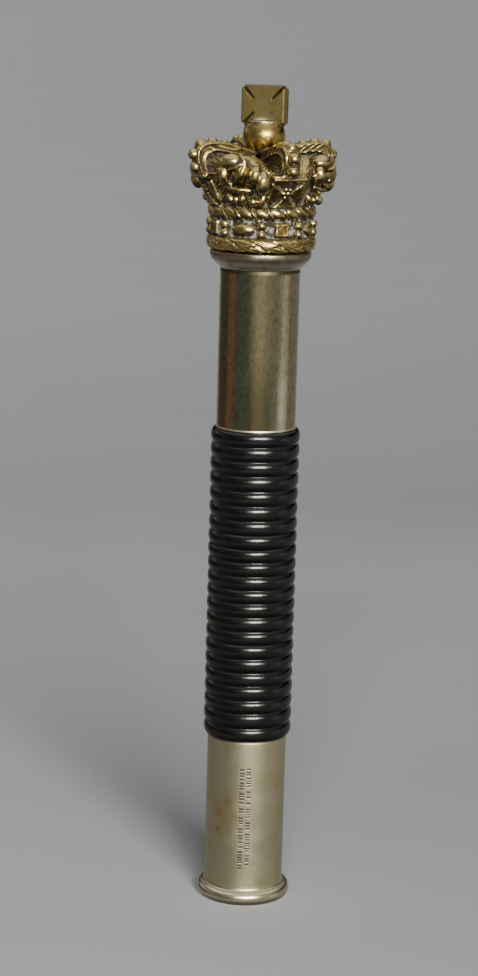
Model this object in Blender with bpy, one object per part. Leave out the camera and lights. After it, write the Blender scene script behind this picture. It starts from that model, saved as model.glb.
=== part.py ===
"""A tipstaff: a short staff of office with a cast brass crown, a collar, a metal barrel, a turned
wooden grip and a metal foot cap. It stands on its foot with the origin at the bottom centre, +Z up.
Lengths are in metres. Azimuths are in degrees from the front (-Y), positive towards +X."""

import math

import bmesh
import bpy
from mathutils import Matrix, Vector

MM = 0.001

# Fits
SEAT_GAP = 0.3 * MM

# Foot cap
FOOT_RADIUS = 9.23 * MM
FOOT_HEIGHT = 39.4 * MM
FOOT_RIM_RADIUS = 10.95 * MM
FOOT_RIM_HEIGHT = 4.7 * MM
FOOT_RIM_ROUND = 1.2 * MM

# Grip
RIB_RADIUS = 10.29 * MM
GROOVE_DEPTH = 0.72 * MM
RIBBED_LENGTH = 72.6 * MM
RIB_PITCH = 3.3 * MM
TENON_RADIUS = 7.2 * MM
TENON_LENGTH = 14.0 * MM

# Barrel
BARREL_RADIUS = 9.18 * MM
BARREL_LENGTH = 36.4 * MM

# Collar
COLLAR_RADIUS = 11.5 * MM
COLLAR_HEIGHT = 3.8 * MM

# Crown stub and circlet, with heights measured up from the underside of the crown
STUB_RADIUS = 5.0 * MM
STUB_DEPTH = 8.0 * MM
BAND_RADIUS = 11.2 * MM
LEAF_BAND_HEIGHT = 3.1 * MM
LEAF_BAND_PROUD = 0.9 * MM
JEWEL_BAND_HEIGHT = 3.8 * MM
ROPE_THICKNESS = 3.5 * MM
ROPE_PROUD = 1.1 * MM
ROPE_STRANDS = 20
ROPE_OVERLAP = 0.66
ROPE_SLANT = math.radians(28.0)
PEARL_RADIUS = 1.0 * MM
JEWEL_WIDTH = 3.5 * MM
LOZENGE_WIDTH = 5.4 * MM
JEWEL_PROUD = 0.8 * MM

# Cap, arches and ornaments of the crown
FLARE_HEIGHT = 8.8 * MM
CAP_RADIUS = 13.5 * MM
CAP_HEIGHT = 10.9 * MM
CAP_SHOULDER = 3.8 * MM
CAP_SINK = 1.0 * MM
ARCH_RADIUS = 17.4 * MM
ARCH_RISE = 13.2 * MM
ARCH_WIDTH = 3.4 * MM
ARCH_CHAMFER = 0.6 * MM
ARCH_PEARL_RADIUS = 1.15 * MM
ARCH_PEARL_SPACING = 2.9 * MM
CROSS_HEIGHT = 6.9 * MM
CROSS_SPAN = 8.4 * MM
CROSS_PROUD = 0.4 * MM
CROSS_LEAN = 3.2 * MM
FLEUR_HEIGHT = 11.6 * MM
FLEUR_SPAN = 11.4 * MM
FLEUR_PROUD = 3.0 * MM

# Orb and top cross. The first two shares are of the arches' rise and of the orb's radius
ARCH_MEETING = 0.83
ORB_LIFT = 0.82
ORB_RADIUS = 4.8 * MM
TOP_CROSS_LIFT = 0.44
TOP_CROSS_WIDTH = 10.4 * MM
TOP_CROSS_HEIGHT = 9.2 * MM
TOP_CROSS_THICKNESS = 3.0 * MM
TOP_CROSS_SLIT = 3.0 * MM

# Places around the crown
QUARTERS = 4
CROSS_AZIMUTH = 23.5
FLEUR_AZIMUTH = -21.5
PEARL_PAIR_AZIMUTHS = (0.0, 45.0)

# Facets
TUBE_SIDES = 36
GRIP_SIDES = 20
RIB_STEPS = 4
CROWN_SIDES = 28
ORB_SIDES = 14
PETAL_FACETS = (6, 5)
PEARL_FACETS = (6, 4)
ROPE_FACETS = (6, 6)
ARCH_STATIONS = 9
CROWN_FACETS_KEPT = 0.55
MERGE_DISTANCE = 0.001 * MM
SHARP_ANGLE = math.radians(40.0)

# Levels, worked out from the sizes above
GRIP_BOTTOM = FOOT_HEIGHT + SEAT_GAP
GRIP_TOP = GRIP_BOTTOM + RIBBED_LENGTH
BARREL_BOTTOM = GRIP_TOP + SEAT_GAP
BARREL_TOP = BARREL_BOTTOM + BARREL_LENGTH
COLLAR_BOTTOM = BARREL_TOP + SEAT_GAP
COLLAR_TOP = COLLAR_BOTTOM + COLLAR_HEIGHT
CROWN_BOTTOM = COLLAR_TOP + SEAT_GAP
STUB_BOTTOM = BARREL_TOP - STUB_DEPTH
ROPE_LEVEL = LEAF_BAND_HEIGHT + JEWEL_BAND_HEIGHT + ROPE_THICKNESS / 2
WAIST_LEVEL = ROPE_LEVEL + ROPE_THICKNESS / 2


def clear_scene():
    for obj in list(bpy.data.objects):
        bpy.data.objects.remove(obj, do_unlink=True)


def metal_or_wood(name, colour, roughness, metallic):
    material = bpy.data.materials.new(name)
    material.use_nodes = True
    shader = material.node_tree.nodes["Principled BSDF"]
    shader.inputs["Base Color"].default_value = (*colour, 1.0)
    shader.inputs["Roughness"].default_value = roughness
    shader.inputs["Metallic"].default_value = metallic
    material.diffuse_color = (*colour, 1.0)
    return material


def object_from(bm, name, material, collection=None):
    bmesh.ops.recalc_face_normals(bm, faces=bm.faces)
    mesh = bpy.data.meshes.new(name)
    bm.to_mesh(mesh)
    bm.free()
    mesh.materials.append(material)
    mesh.shade_smooth()
    mesh.set_sharp_from_angle(angle=SHARP_ANGLE)
    obj = bpy.data.objects.new(name, mesh)
    (collection or bpy.context.scene.collection).objects.link(obj)
    return obj


def turned(outline, sides, ring=False):
    """Spins (radius, height) points about Z. They start and end on the axis, or go round a ring."""
    bm = bmesh.new()
    verts = [bm.verts.new((radius, 0.0, height)) for radius, height in outline]
    ends = verts[1:] + verts[:1] if ring else verts[1:]
    edges = [bm.edges.new(pair) for pair in zip(verts, ends)]
    bmesh.ops.spin(
        bm,
        geom=verts + edges,
        cent=(0.0, 0.0, 0.0),
        axis=(0.0, 0.0, 1.0),
        angle=2 * math.pi,
        steps=sides,
        use_merge=True,
    )
    bmesh.ops.remove_doubles(bm, verts=bm.verts, dist=MERGE_DISTANCE)
    return bm


def blended(start, end, share):
    return start + (end - start) * share


def foot_cap(material):
    """A cup over the grip's lower tenon, with a rolled rim at the floor."""
    socket_radius = TENON_RADIUS + SEAT_GAP
    socket_floor = GRIP_BOTTOM - TENON_LENGTH - SEAT_GAP
    outline = [(0.0, socket_floor), (socket_radius, socket_floor), (socket_radius, FOOT_HEIGHT)]
    outline.append((FOOT_RADIUS, FOOT_HEIGHT))
    slope_steps = 5
    for step in range(slope_steps, -1, -1):
        share = step / slope_steps
        swell = 0.5 + 0.5 * math.cos(math.pi * share)
        height = blended(FOOT_RIM_ROUND, FOOT_RIM_HEIGHT, share)
        outline.append((blended(FOOT_RADIUS, FOOT_RIM_RADIUS, swell), height))
    round_steps = 2
    for step in range(1, round_steps + 1):
        angle = math.pi / 2 * step / round_steps
        radius = FOOT_RIM_RADIUS - FOOT_RIM_ROUND * (1 - math.cos(angle))
        outline.append((radius, FOOT_RIM_ROUND * (1 - math.sin(angle))))
    outline.append((0.0, 0.0))
    return object_from(turned(outline, TUBE_SIDES), "foot_cap", material)


def grip(material):
    """The turned grip: a lower tenon, the row of half-round ribs and an upper tenon."""
    ribs = max(1, round(RIBBED_LENGTH / RIB_PITCH))
    groove_radius = RIB_RADIUS - GROOVE_DEPTH
    outline = [(0.0, GRIP_BOTTOM - TENON_LENGTH), (TENON_RADIUS, GRIP_BOTTOM - TENON_LENGTH)]
    outline.append((TENON_RADIUS, GRIP_BOTTOM))
    for step in range(ribs * RIB_STEPS + 1):
        across = 2 * (step % RIB_STEPS) / RIB_STEPS - 1
        radius = groove_radius + GROOVE_DEPTH * math.sqrt(1 - across * across)
        outline.append((radius, GRIP_BOTTOM + RIBBED_LENGTH * step / (ribs * RIB_STEPS)))
    tenon_top = GRIP_TOP + TENON_LENGTH
    outline += [(TENON_RADIUS, GRIP_TOP), (TENON_RADIUS, tenon_top), (0.0, tenon_top)]
    return object_from(turned(outline, GRIP_SIDES), "grip", material)


def barrel(material):
    """The barrel, socketed below for the grip's tenon and above for the crown's stub."""
    lower_socket = TENON_RADIUS + SEAT_GAP
    lower_socket_top = GRIP_TOP + TENON_LENGTH + SEAT_GAP
    upper_socket = STUB_RADIUS + SEAT_GAP
    upper_socket_floor = STUB_BOTTOM - SEAT_GAP
    outline = [
        (0.0, lower_socket_top),
        (lower_socket, lower_socket_top),
        (lower_socket, BARREL_BOTTOM),
        (BARREL_RADIUS, BARREL_BOTTOM),
        (BARREL_RADIUS, BARREL_TOP),
        (upper_socket, BARREL_TOP),
        (upper_socket, upper_socket_floor),
        (0.0, upper_socket_floor),
    ]
    return object_from(turned(outline, TUBE_SIDES), "barrel", material)


def collar(material):
    """The ovolo ring under the crown, bored for the crown's stub."""
    bore = STUB_RADIUS + SEAT_GAP
    lip = COLLAR_HEIGHT / 5
    outline = [(bore, COLLAR_TOP), (bore, COLLAR_BOTTOM)]
    curve_steps = 4
    for step in range(curve_steps + 1):
        share = step / curve_steps
        radius = blended(BARREL_RADIUS, COLLAR_RADIUS, math.sin(math.pi / 2 * share))
        outline.append((radius, COLLAR_BOTTOM + (COLLAR_HEIGHT - lip) * share))
    outline.append((COLLAR_RADIUS, COLLAR_TOP))
    return object_from(turned(outline, TUBE_SIDES, ring=True), "collar", material)


def crown_outline():
    """(radius, level) of the crown's plain body above its underside, from the rim inward to the axis."""
    leaf_radius = BAND_RADIUS + LEAF_BAND_PROUD
    cap_top = WAIST_LEVEL + CAP_HEIGHT
    outline = [
        (BAND_RADIUS, 0.0),
        (leaf_radius, LEAF_BAND_HEIGHT * 0.2),
        (leaf_radius, LEAF_BAND_HEIGHT * 0.75),
        (BAND_RADIUS, LEAF_BAND_HEIGHT),
        (BAND_RADIUS, WAIST_LEVEL),
    ]
    flare_steps = 3
    for step in range(1, flare_steps + 1):
        share = step / flare_steps
        radius = blended(BAND_RADIUS, CAP_RADIUS, math.sin(math.pi / 2 * share))
        outline.append((radius, WAIST_LEVEL + FLARE_HEIGHT * share))
    shoulder_steps = 3
    for step in range(1, shoulder_steps + 1):
        angle = math.pi / 2 * step / shoulder_steps
        radius = CAP_RADIUS - CAP_SHOULDER * (1 - math.cos(angle))
        outline.append((radius, cap_top - (CAP_HEIGHT - FLARE_HEIGHT) * (1 - math.sin(angle))))
    outline.append((ORB_RADIUS, cap_top - CAP_SINK))
    outline.append((0.0, cap_top - CAP_SINK))
    return outline


def skin_radius(level):
    """The radius of the crown's plain body at a level."""
    outline = crown_outline()
    for (lower_radius, lower), (upper_radius, upper) in zip(outline, outline[1:]):
        if lower <= level <= upper and upper > lower:
            return blended(lower_radius, upper_radius, (level - lower) / (upper - lower))
    return CAP_RADIUS


def polar(azimuth, radius, level):
    """A point on the crown, with the azimuth in radians and the level above the crown's underside."""
    return Vector((radius * math.sin(azimuth), -radius * math.cos(azimuth), CROWN_BOTTOM + level))


def seat(azimuth, radius, level, spin=0.0):
    """A frame on the crown: X runs sideways, -Y outward and Z up, turned by spin about the outward axis."""
    around = Matrix.Rotation(azimuth, 4, "Z")
    place = Matrix.Translation((0.0, -radius, CROWN_BOTTOM + level))
    return around @ place @ Matrix.Rotation(spin, 4, "Y")


def ellipsoid(frame, radii, facets):
    segments, rings = facets
    bm = bmesh.new()
    size = Matrix.Diagonal((*radii, 1.0))
    bmesh.ops.create_uvsphere(bm, u_segments=segments, v_segments=rings, radius=1.0, matrix=frame @ size)
    return bm


def lofted(*loops):
    """A closed solid through loops with the same number of points, capped at its first and last loop."""
    bm = bmesh.new()
    rings = [[bm.verts.new(point) for point in loop] for loop in loops]
    bm.faces.new(rings[0])
    bm.faces.new(list(reversed(rings[-1])))
    count = len(rings[0])
    for ring, following in zip(rings, rings[1:]):
        for here in range(count):
            after = (here + 1) % count
            bm.faces.new((ring[here], following[here], following[after], ring[after]))
    bmesh.ops.recalc_face_normals(bm, faces=bm.faces)
    bmesh.ops.triangulate(bm, faces=bm.faces)
    return bm


def rope_ring():
    """A cabled ring: slanting lobes that run into each other, one for each strand."""
    tube = ROPE_THICKNESS / 2
    pitch = 2 * math.pi / ROPE_STRANDS
    length = pitch * (BAND_RADIUS + ROPE_PROUD) * ROPE_OVERLAP
    for strand in range(ROPE_STRANDS):
        frame = seat(pitch * strand, BAND_RADIUS + ROPE_PROUD - tube, ROPE_LEVEL, ROPE_SLANT)
        yield ellipsoid(frame, (length, tube, tube), ROPE_FACETS)


def pearl(frame, radius):
    return ellipsoid(frame, (radius, radius, radius), PEARL_FACETS)


def pearl_pair(azimuth):
    """Two pearls, one above the other, on the jewel band."""
    spacing = JEWEL_BAND_HEIGHT / 2
    for index in range(2):
        level = LEAF_BAND_HEIGHT + spacing * (index + 0.5)
        yield pearl(seat(azimuth, BAND_RADIUS + PEARL_RADIUS * 0.25, level), PEARL_RADIUS)


def square_jewel(azimuth):
    """A table-cut jewel: a raised block with sloping sides."""
    level = LEAF_BAND_HEIGHT + JEWEL_BAND_HEIGHT / 2
    half_height = JEWEL_BAND_HEIGHT * 0.44
    half_angle = JEWEL_WIDTH / 2 / BAND_RADIUS
    table = 0.72
    front_radius = BAND_RADIUS + JEWEL_PROUD
    back_radius = BAND_RADIUS * 0.9
    front = []
    back = []
    for side, up in ((-1, -1), (1, -1), (1, 1), (-1, 1)):
        angle = side * half_angle
        rise = up * half_height
        front.append(polar(azimuth + angle * table, front_radius, level + rise * table))
        back.append(polar(azimuth + angle, back_radius, level + rise))
    return lofted(front, back)


def lozenge_jewel(azimuth):
    """A pointed oval jewel, longer around the band than it is high."""
    level = LEAF_BAND_HEIGHT + JEWEL_BAND_HEIGHT / 2
    radii = (LOZENGE_WIDTH / 2, JEWEL_PROUD * 2, JEWEL_BAND_HEIGHT * 0.42)
    return ellipsoid(seat(azimuth, BAND_RADIUS - JEWEL_PROUD, level), radii, PEARL_FACETS)


def cross_front(level):
    """The radius of a circlet cross's face, which leans further out as it rises."""
    share = max(0.0, (level - WAIST_LEVEL) / CROSS_HEIGHT)
    return BAND_RADIUS + ROPE_PROUD + CROSS_PROUD + CROSS_LEAN * share**1.3


def cross_pattee(azimuth):
    """A cross whose flaring arms lean out from the circlet to a wide ledge, with a boss in its middle."""
    low = WAIST_LEVEL - CROSS_HEIGHT * 0.05
    middle = WAIST_LEVEL + CROSS_HEIGHT * 0.43
    high = WAIST_LEVEL + CROSS_HEIGHT
    neck = CROSS_HEIGHT * 0.12
    arm = CROSS_HEIGHT * 0.33
    half_ledge = CROSS_SPAN / 2
    half_middle = half_ledge * 0.92
    half_foot = half_ledge * 0.74
    right_side = [
        (half_foot, low),
        (neck, middle - neck),
        (half_middle, middle - arm),
        (half_middle, middle + arm),
        (neck, middle + neck),
        (half_ledge, high),
    ]
    outline = right_side + [(-across, level) for across, level in reversed(right_side)]
    front = []
    back = []
    for across, level in outline:
        radius = cross_front(level)
        front.append(polar(azimuth + across / radius, radius, level))
        back.append(polar(azimuth + across / radius, skin_radius(level) - CROSS_LEAN * 0.3, level))
    yield lofted(front, back)
    yield pearl(seat(azimuth, cross_front(middle), middle), CROSS_HEIGHT * 0.15)


def fleur_de_lis(azimuth):
    """A fleur-de-lis in high relief: hooded petals, a tie and a stem, with a pearl beside it.
    Each row is a place across, a share of the height, three shares of size and a spin."""
    side = FLEUR_SPAN * 0.34
    petals = (
        (side * 0.15, 0.64, (0.19, 1.0, 0.27), 0.0),
        (-side * 0.5, 0.82, (0.24, 0.9, 0.15), 0.0),
        (-side * 0.85, 0.58, (0.135, 0.92, 0.2), math.radians(-12.0)),
        (side * 1.25, 0.5, (0.17, 0.92, 0.19), math.radians(22.0)),
        (0.0, 0.31, (0.27, 0.6, 0.07), 0.0),
        (0.0, 0.14, (0.13, 0.45, 0.20), 0.0),
    )
    for across, share, (wide, deep, tall), spin in petals:
        level = WAIST_LEVEL + FLEUR_HEIGHT * share
        radius = skin_radius(level)
        radii = (FLEUR_SPAN * wide, FLEUR_PROUD * deep, FLEUR_HEIGHT * tall)
        yield ellipsoid(seat(azimuth + across / radius, radius, level, spin), radii, PETAL_FACETS)
    beside = azimuth + FLEUR_SPAN * 0.24 / BAND_RADIUS
    level = WAIST_LEVEL + FLEUR_HEIGHT * 0.07
    yield pearl(seat(beside, BAND_RADIUS + PEARL_RADIUS, level), PEARL_RADIUS)


def arch_path(share):
    """The outer edge of a half-arch as (radius, level), from the circlet behind its cross to the orb."""
    start = Vector((BAND_RADIUS, WAIST_LEVEL))
    rise = Vector((ARCH_RADIUS * 1.24, WAIST_LEVEL + ARCH_RISE * 0.98))
    crest = Vector((ARCH_RADIUS, WAIST_LEVEL + ARCH_RISE * 1.25))
    end = Vector((ORB_RADIUS * 0.5, WAIST_LEVEL + ARCH_RISE * 0.88))
    rest = 1 - share
    return start * rest**3 + rise * 3 * share * rest**2 + crest * 3 * share**2 * rest + end * share**3


def half_arch(azimuth):
    """A deep rib that bows out from behind its cross, turns over the shoulder and dips to the orb."""
    sideways = Vector((math.cos(azimuth), math.sin(azimuth), 0.0))
    inner = Vector((ORB_RADIUS * 0.5, WAIST_LEVEL))
    loops = []
    for across, inset in ((-0.5, 1.0), (-0.32, 0.0), (0.32, 0.0), (0.5, 1.0)):
        loop = [polar(azimuth, inner.x, inner.y) + sideways * ARCH_WIDTH * across]
        for station in range(ARCH_STATIONS):
            share = station / (ARCH_STATIONS - 1)
            edge = arch_path(share)
            edge += (inner - edge).normalized() * ARCH_CHAMFER * inset
            loop.append(polar(azimuth, edge.x, edge.y) + sideways * ARCH_WIDTH * across)
        loops.append(loop)
    return lofted(*loops)


def arch_pearls(azimuth):
    """Evenly spaced pearls along the outer edge of a half-arch, from its cross to the orb."""
    steps = 200
    ledge = WAIST_LEVEL + CROSS_HEIGHT
    run = 0.0
    before = arch_path(0.0)
    for step in range(1, steps + 1):
        here = arch_path(step / steps)
        if here.y > ledge:
            run += (here - before).length
        before = here
        if run >= ARCH_PEARL_SPACING / 2 and here.x > ORB_RADIUS:
            yield pearl(seat(azimuth, here.x, here.y), ARCH_PEARL_RADIUS)
            run -= ARCH_PEARL_SPACING


def orb():
    level = WAIST_LEVEL + ARCH_RISE * ARCH_MEETING + ORB_RADIUS * ORB_LIFT
    radii = (ORB_RADIUS, ORB_RADIUS, ORB_RADIUS)
    return ellipsoid(seat(0.0, 0.0, level), radii, (ORB_SIDES, ORB_SIDES * 2 // 3)), level


def top_cross(orb_level):
    """A cross whose arms nearly meet: a thick square plate with a narrow slit in from each corner."""
    half_width = TOP_CROSS_WIDTH / 2
    half_height = TOP_CROSS_HEIGHT / 2
    corner = TOP_CROSS_SLIT * 0.33
    shoulder = TOP_CROSS_SLIT * 0.12
    inset = TOP_CROSS_SLIT * 0.25
    quarter = (
        (0.0, corner),
        (shoulder, inset),
        (TOP_CROSS_SLIT, TOP_CROSS_SLIT),
        (inset, shoulder),
        (corner, 0.0),
    )
    outline = []
    for right, up in ((1, 1), (-1, 1), (-1, -1), (1, -1)):
        points = [(right * (half_width - x), up * (half_height - y)) for x, y in quarter]
        outline += points if right == up else list(reversed(points))
    centre = orb_level + ORB_RADIUS * TOP_CROSS_LIFT + half_height
    frame = seat(math.radians(FLEUR_AZIMUTH), 0.0, centre)
    half_thick = TOP_CROSS_THICKNESS / 2
    front = [frame @ Vector((x, -half_thick, z)) for x, z in outline]
    back = [frame @ Vector((x, half_thick, z)) for x, z in outline]
    return lofted(front, back)


def crown_ornaments():
    """Every raised form of the crown, as separate closed bodies that overlap its plain body."""
    yield from rope_ring()
    for quarter in range(QUARTERS):
        turn = math.radians(360.0 / QUARTERS * quarter)
        cross_turn = turn + math.radians(CROSS_AZIMUTH)
        fleur_turn = turn + math.radians(FLEUR_AZIMUTH)
        for azimuth in PEARL_PAIR_AZIMUTHS:
            yield from pearl_pair(turn + math.radians(azimuth))
        yield square_jewel(cross_turn)
        yield lozenge_jewel(fleur_turn)
        yield from cross_pattee(cross_turn)
        yield half_arch(cross_turn)
        yield from arch_pearls(cross_turn)
        yield from fleur_de_lis(fleur_turn)
    ball, orb_level = orb()
    yield ball
    yield top_cross(orb_level)


def joined(body, ornaments, material):
    """Fuses ornaments into a body as one closed mesh, and thins out the facets that the joins leave."""
    helpers = bpy.data.collections.new(body.name + "_ornaments")
    bpy.context.scene.collection.children.link(helpers)
    for index, bm in enumerate(ornaments):
        object_from(bm, f"{body.name}_ornament_{index:03d}", material, helpers)
    union = body.modifiers.new("ornaments", "BOOLEAN")
    union.operation = "UNION"
    union.solver = "EXACT"
    union.operand_type = "COLLECTION"
    union.collection = helpers
    facets = body.modifiers.new("facets", "DECIMATE")
    facets.ratio = CROWN_FACETS_KEPT
    bpy.context.view_layer.update()
    evaluated = body.evaluated_get(bpy.context.evaluated_depsgraph_get())
    mesh = bpy.data.meshes.new_from_object(evaluated)
    body.modifiers.clear()
    body.data = mesh
    mesh.shade_smooth()
    mesh.set_sharp_from_angle(angle=SHARP_ANGLE)
    for helper in list(helpers.objects):
        bpy.data.objects.remove(helper, do_unlink=True)
    bpy.data.collections.remove(helpers)
    return body


def crown(material):
    """The cast crown: its turned body with the stub below, joined with every ornament."""
    outline = [(0.0, STUB_BOTTOM), (STUB_RADIUS, STUB_BOTTOM), (STUB_RADIUS, CROWN_BOTTOM)]
    outline += [(radius, CROWN_BOTTOM + level) for radius, level in crown_outline()]
    body = object_from(turned(outline, CROWN_SIDES), "crown", material)
    return joined(body, crown_ornaments(), material)


def main():
    clear_scene()
    crown(metal_or_wood("aged_brass", (0.45, 0.33, 0.13), 0.3, 1.0))
    collar(metal_or_wood("pale_nickel", (0.56, 0.51, 0.45), 0.35, 1.0))
    barrel(metal_or_wood("polished_nickel_silver", (0.47, 0.44, 0.32), 0.25, 1.0))
    grip(metal_or_wood("black_wood", (0.012, 0.011, 0.011), 0.25, 0.0))
    foot_cap(metal_or_wood("satin_nickel_silver", (0.52, 0.49, 0.40), 0.42, 1.0))


main()
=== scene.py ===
from math import copysign, cos, pi, radians, sin, sqrt, tan

import bmesh
import bpy
import numpy as np
from mathutils import Matrix, Vector


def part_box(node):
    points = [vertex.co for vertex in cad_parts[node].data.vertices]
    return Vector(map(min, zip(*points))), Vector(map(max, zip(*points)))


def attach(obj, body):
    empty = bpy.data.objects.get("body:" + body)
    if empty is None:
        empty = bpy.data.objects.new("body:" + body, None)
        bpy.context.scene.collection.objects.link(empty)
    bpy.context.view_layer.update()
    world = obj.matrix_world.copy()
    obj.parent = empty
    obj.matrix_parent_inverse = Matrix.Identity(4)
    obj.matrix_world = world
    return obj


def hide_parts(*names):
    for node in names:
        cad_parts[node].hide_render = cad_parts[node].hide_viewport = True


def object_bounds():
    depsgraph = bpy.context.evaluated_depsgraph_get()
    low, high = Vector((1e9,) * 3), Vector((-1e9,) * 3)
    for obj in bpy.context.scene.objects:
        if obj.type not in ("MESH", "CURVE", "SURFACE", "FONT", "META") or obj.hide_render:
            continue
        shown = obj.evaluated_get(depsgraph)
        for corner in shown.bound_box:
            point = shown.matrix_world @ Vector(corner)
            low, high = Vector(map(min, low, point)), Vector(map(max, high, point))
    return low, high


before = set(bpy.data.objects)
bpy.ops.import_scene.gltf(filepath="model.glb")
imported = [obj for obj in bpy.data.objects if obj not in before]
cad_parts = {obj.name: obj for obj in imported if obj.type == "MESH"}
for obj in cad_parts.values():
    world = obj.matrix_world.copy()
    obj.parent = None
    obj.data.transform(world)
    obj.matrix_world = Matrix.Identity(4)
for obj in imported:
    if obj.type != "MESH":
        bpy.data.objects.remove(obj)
CAD_LOW, CAD_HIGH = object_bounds()

# Lengths are in units. A unit is one 190th of the staff's height, which is a millimetre as built.
UNIT = (CAD_HIGH[2] - CAD_LOW[2]) / 190.0


def levels(node):
    low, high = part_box(node)
    return low.z / UNIT, high.z / UNIT


def half_width(node):
    low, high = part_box(node)
    return (high.x - low.x) / 2 / UNIT


# Fits
SEAT_GAP = 0.3
SEAM = 0.06
TENON_RADIUS = 7.2
TENON_LENGTH = 14.0
STUB_RADIUS = 5.0

# Foot cap
FOOT_RIM_RADIUS = half_width("foot_cap")
FOOT_RADIUS = FOOT_RIM_RADIUS * 0.843
FOOT_HEIGHT = levels("foot_cap")[1]
FOOT_RIM = (
    (-0.62, 0.06), (-0.36, 0.26), (-0.17, 0.56), (-0.05, 0.95), (0.0, 1.4), (-0.03, 1.85),
    (-0.14, 2.25), (-0.33, 2.6), (-0.57, 2.84), (-0.84, 2.97), (-1.12, 3.03), (-1.34, 3.08),
    (-1.49, 3.16), (-1.6, 3.3), (-1.67, 3.5), (-1.72, 3.8), (FOOT_RADIUS - FOOT_RIM_RADIUS, 4.3),
)
# (azimuth, top, bottom) of the two rows of the stamp
STAMP_ROWS = ((0.085, 33.0, 9.6), (-0.095, 32.9, 8.6))
STAMP_DEPTH = 0.06
# (azimuth in degrees, level, spread, strength) of the brown spots
STAINS = (
    (-40.5, 21.8, 1.0, 1.0), (-25.2, 24.5, 1.5, 0.6), (-16.9, 21.8, 1.1, 0.45), (-41.6, 17.5, 0.8, 0.7),
    (-30.0, 20.5, 2.6, 0.36), (-28.0, 27.5, 1.8, 0.25), (-35.0, 15.0, 1.8, 0.2), (-45.0, 24.0, 1.8, 0.25),
)

# Grip
GRIP_BOTTOM = FOOT_HEIGHT + SEAT_GAP
GRIP_TOP = levels("grip")[1] - TENON_LENGTH
RIB_RADIUS = half_width("grip")
GROOVE_DEPTH = 0.78
RIB_STEPS = 16
RIB_HEIGHTS = (
    3.25, 3.54, 3.14, 3.39, 3.24, 3.29, 3.29, 3.24, 3.38, 3.24, 3.14,
    3.24, 3.31, 3.14, 3.13, 3.41, 3.38, 3.49, 3.47, 3.36, 3.35, 3.18,
)

# Barrel and collar
BARREL_RADIUS = half_width("barrel")
BARREL_BOTTOM, BARREL_TOP = levels("barrel")
BARREL_WALL = BARREL_RADIUS - 0.06
COLLAR_RADIUS = half_width("collar")
COLLAR_BOTTOM, COLLAR_TOP = levels("collar")

# Crown, with heights measured up from its underside
CROWN_BOTTOM = COLLAR_TOP + SEAT_GAP
STUB_BOTTOM, CROWN_TOP = levels("crown")
BAND_RADIUS = COLLAR_RADIUS * 0.974
LEAF_BAND_HEIGHT = 3.1
LEAF_BAND_PROUD = 0.9
LEAVES = 15
JEWEL_BAND_HEIGHT = 3.8
JEWEL_LEVEL = LEAF_BAND_HEIGHT + JEWEL_BAND_HEIGHT / 2
ROPE_THICKNESS = 3.5
ROPE_PROUD = 1.1
ROPE_STRANDS = 20
ROPE_SLANT = radians(28.0)
ROPE_LEVEL = LEAF_BAND_HEIGHT + JEWEL_BAND_HEIGHT + ROPE_THICKNESS / 2
WAIST_LEVEL = ROPE_LEVEL + ROPE_THICKNESS / 2
PEARL_RADIUS = 1.0
FLARE_HEIGHT = 8.8
CAP_RADIUS = 13.5
CAP_HEIGHT = 10.9
CAP_SHOULDER = 3.8
CAP_SINK = 1.0
CAP_SAG = 2.6
ARCH_RADIUS = 17.4
ARCH_RISE = 13.2
ARCH_WIDTH = 3.4
ARCH_STATIONS = 30
ARCH_PEARL_RADIUS = 1.2
ARCH_PEARL_SPACING = 2.9
CROSS_HEIGHT = 6.9
CROSS_SPAN = 8.4
CROSS_PROUD = 0.4
CROSS_LEAN = 3.2
ORB_RADIUS = 4.8
ORB_LEVEL = WAIST_LEVEL + ARCH_RISE * 0.83 + ORB_RADIUS * 0.82
TOP_CROSS_WIDTH = 10.4
TOP_CROSS_THICKNESS = 3.0
TOP_CROSS_BOTTOM = ORB_LEVEL + ORB_RADIUS * 0.44
TOP_CROSS_SLIT = 3.0
QUARTERS = 4
CROSS_AZIMUTH = radians(23.5)
FLEUR_AZIMUTH = radians(-21.5)
HATCHING_DEPTH = 0.075
HATCHING_PITCH = 0.8
# (wavelength, size) of the cast unevenness
CAST_WAVES = ((2.2, 0.02), (0.9, 0.012))
# Attributes that tell how deep in a hollow a point lies, with the rounds of smoothing added for each
HOLLOWS = (("hollow_fine", 3), ("hollow", 12), ("hollow_broad", 45))

# Mesh fineness
TUBE_SIDES = 144
GRIP_SIDES = 128
CROWN_SIDES = 128
VOXEL = 0.17
CROWN_TRIANGLES = 190000

# Camera: units from the foot's centre, degrees, and the focal length and the photograph in pixels
CAMERA_DISTANCE = 533.6
CAMERA_HEIGHT = 205.3
CAMERA_PITCH = 11.37
CAMERA_ROLL = 1.58
CAMERA_YAW = 0.37
FOCAL_PIXELS = 2355.0
PHOTO_HEIGHT = 976.0
SENSOR = 36.0

# (distance behind the staff, tone) of the light and shade painted on the floor, and its rim in metres
FLOOR_PAINTED_LIGHT = (
    (-60.0, 1.24), (-20.0, 1.17), (90.0, 1.06), (200.0, 1.07), (300.0, 1.05), (480.0, 0.88), (640.0, 0.92),
    (1190.0, 1.0), (4000.0, 0.975),
)
FLOOR_RIM = 80.0
FLOOR_SIDES = 96

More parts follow.
